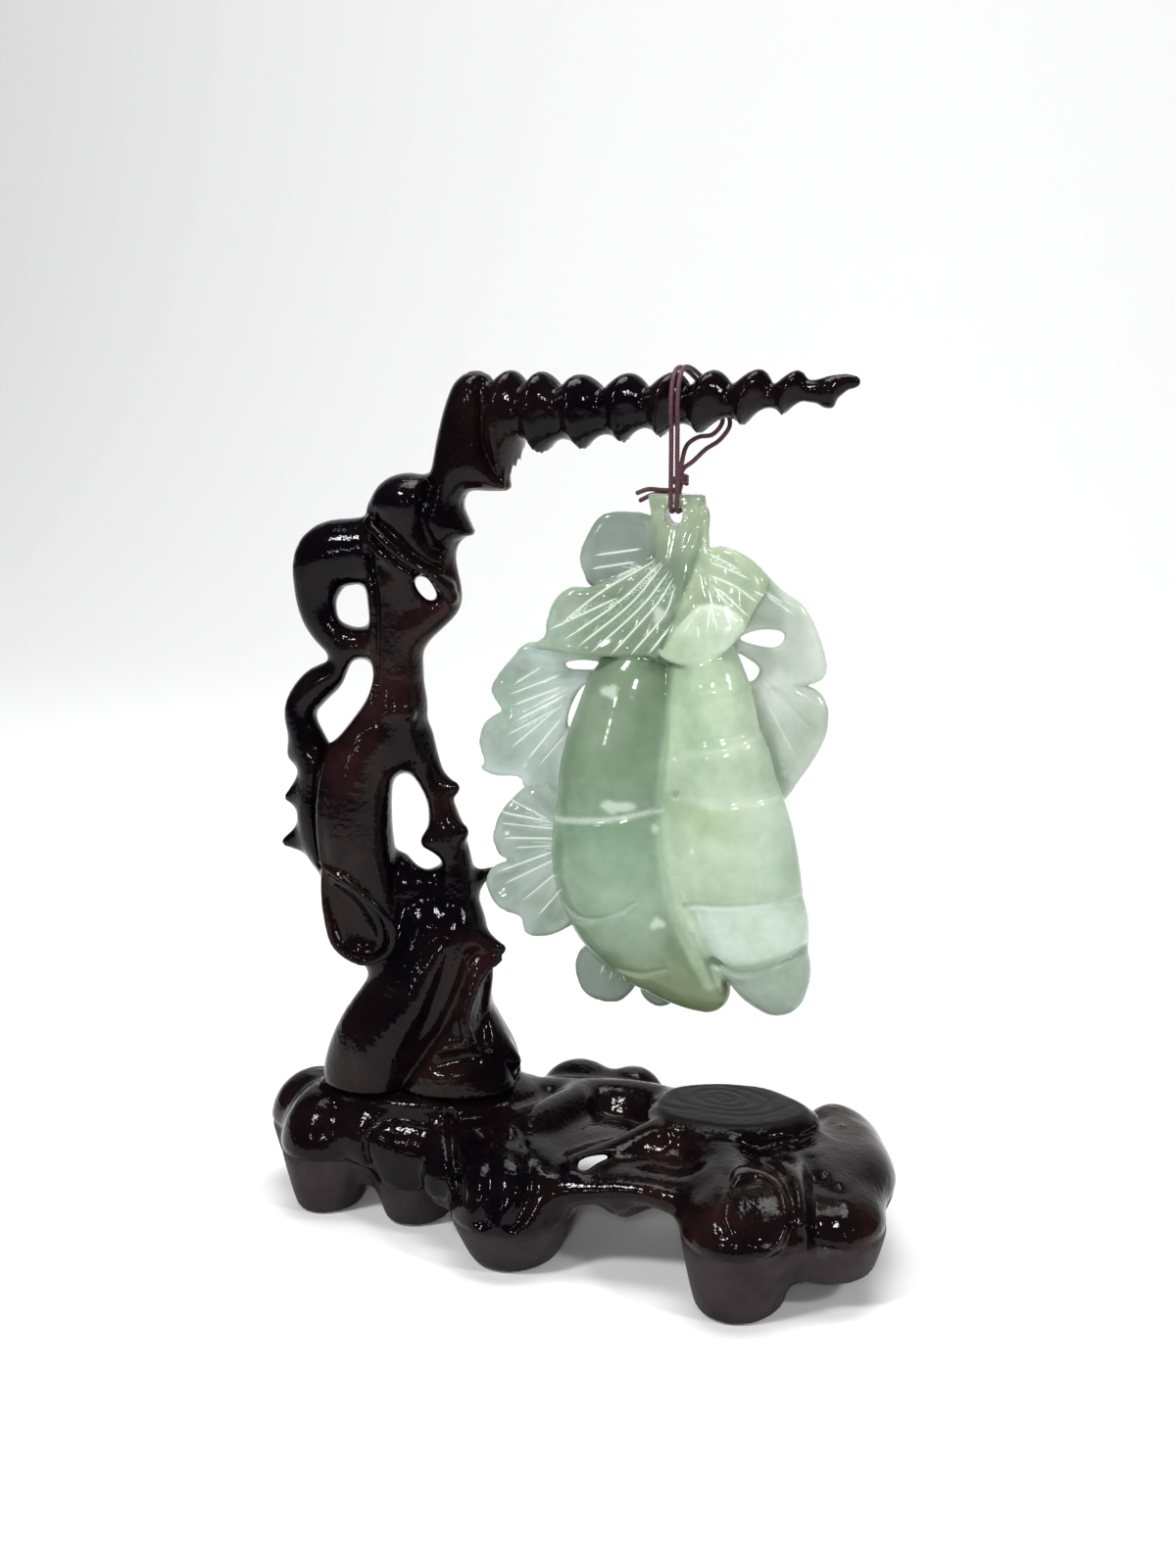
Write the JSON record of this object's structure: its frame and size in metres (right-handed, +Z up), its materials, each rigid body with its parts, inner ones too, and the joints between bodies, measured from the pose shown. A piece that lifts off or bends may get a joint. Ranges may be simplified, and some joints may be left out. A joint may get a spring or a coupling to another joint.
{
  "type": "jade leaf sculpture on a carved wood stand",
  "caption": "Carved jade pendant of gourds among scalloped leaves, hung by a cord from the ridged arm of a dark root-carved wood stand.",
  "frame": {"origin": "on the floor, under the middle of the stand's base", "axes": "+X along the base from the upright to the stump, +Y away from the viewer, +Z up"},
  "size_m": [0.235, 0.123, 0.3031],
  "materials": {
    "stand_base": "dark gloss lacquer, matte below the scribed line",
    "stand_upright": "dark gloss lacquer",
    "jade_pendant": "polished, translucent",
    "hanging_cord": "twisted cord with a slight sheen",
    "cord_knot": "twisted cord with a slight sheen"
  },
  "bodies": {
    "root": {"stand_base": "stand_base", "stand_upright": "stand_upright", "jade_pendant": "jade_pendant", "hanging_cord": "hanging_cord", "cord_knot": "cord_knot"}
  },
  "joints": []
}
